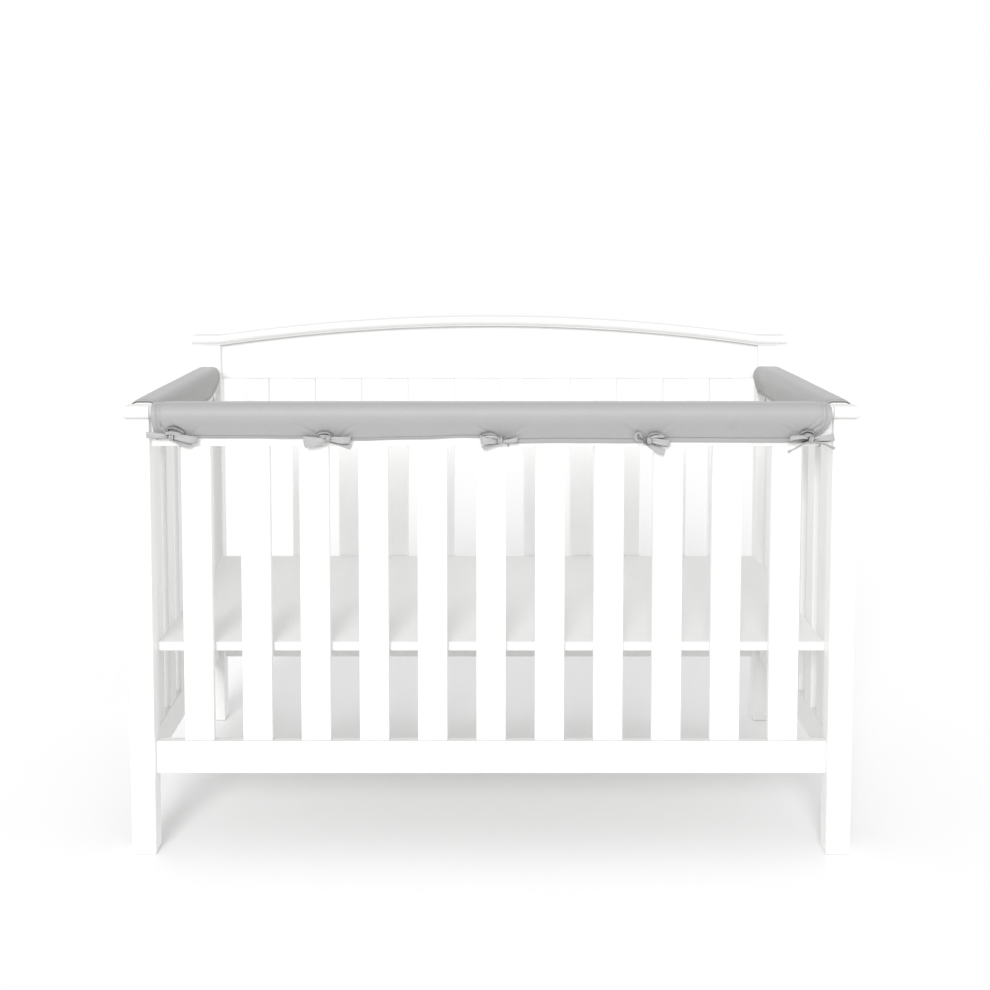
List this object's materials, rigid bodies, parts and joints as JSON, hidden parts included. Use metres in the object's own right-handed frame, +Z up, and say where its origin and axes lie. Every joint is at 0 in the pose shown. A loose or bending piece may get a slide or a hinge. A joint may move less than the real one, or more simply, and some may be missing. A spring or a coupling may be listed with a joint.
{
  "type": "crib rail cover on a crib",
  "caption": "Padded grey cloth covers fitted over the front and side rails of a white slatted crib, tied under each rail with cloth bows.",
  "frame": {"origin": "on the floor, under the middle of the crib", "axes": "+X to the right seen from the front, +Y to the headboard, +Z up"},
  "size_m": [1.466, 0.7989, 1.018],
  "materials": {
    "cover_cloth": "matt padded cotton weave, pale grey",
    "tie_cloth": "narrow folded strips of the same weave",
    "white_paint": "white satin paint on solid wood"
  },
  "bodies": {
    "root": {"post_front_left": "white_paint", "post_front_right": "white_paint", "post_back_left": "white_paint", "post_back_right": "white_paint", "post_cap_left": "white_paint", "post_cap_right": "white_paint", "rail_front": "white_paint", "rail_left": "white_paint", "rail_right": "white_paint", "bottom_rail_front": "white_paint", "bottom_rail_back": "white_paint", "side_panel_left": "white_paint", "side_panel_right": "white_paint", "headboard_panel": "white_paint", "headboard_crown": "white_paint", "slat_front_01": "white_paint", "slat_front_02": "white_paint", "slat_front_03": "white_paint", "slat_front_04": "white_paint", "slat_front_05": "white_paint", "slat_front_06": "white_paint", "slat_front_07": "white_paint", "slat_front_08": "white_paint", "slat_front_09": "white_paint", "slat_front_10": "white_paint", "slat_front_11": "white_paint", "slat_back_01": "white_paint", "slat_back_02": "white_paint", "slat_back_03": "white_paint", "slat_back_04": "white_paint", "slat_back_05": "white_paint", "slat_back_06": "white_paint", "slat_back_07": "white_paint", "slat_back_08": "white_paint", "slat_back_09": "white_paint", "slat_back_10": "white_paint", "slat_back_11": "white_paint", "mattress_support": "white_paint", "cover_front": "cover_cloth", "cover_left": "cover_cloth", "cover_right": "cover_cloth", "tie_front_1": "tie_cloth", "tie_front_2": "tie_cloth", "tie_front_3": "tie_cloth", "tie_front_4": "tie_cloth", "tie_front_5": "tie_cloth", "tie_left_1": "tie_cloth", "tie_left_2": "tie_cloth", "tie_left_3": "tie_cloth", "tie_right_1": "tie_cloth", "tie_right_2": "tie_cloth", "tie_right_3": "tie_cloth"}
  },
  "joints": []
}
